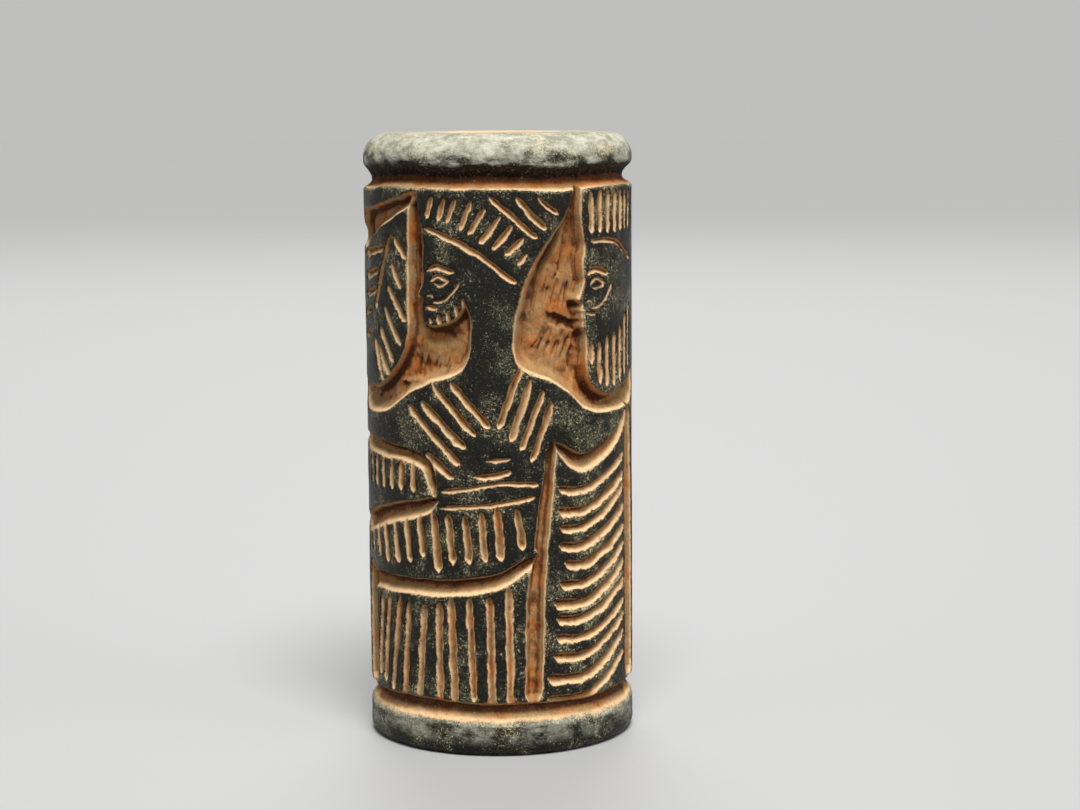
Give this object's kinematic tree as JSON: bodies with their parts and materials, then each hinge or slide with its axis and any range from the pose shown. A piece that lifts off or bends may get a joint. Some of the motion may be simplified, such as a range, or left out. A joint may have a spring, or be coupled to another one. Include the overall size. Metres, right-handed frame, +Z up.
{
  "type": "cylinder seal",
  "caption": "Standing stone cylinder with a rounded lip and a foot rim, drilled lengthwise for a string, with a frieze of robed figures cut round its side.",
  "frame": {"origin": "middle of the flat foot", "axes": "+Z up along the seal and its string hole, -Y towards the two figures of the front"},
  "size_m": [0.017, 0.017, 0.038],
  "materials": {
    "carved_stone": "satin, rubbed smooth, with tan deposit in the cuts"
  },
  "bodies": {
    "root": {"seal": "carved_stone"}
  },
  "joints": []
}
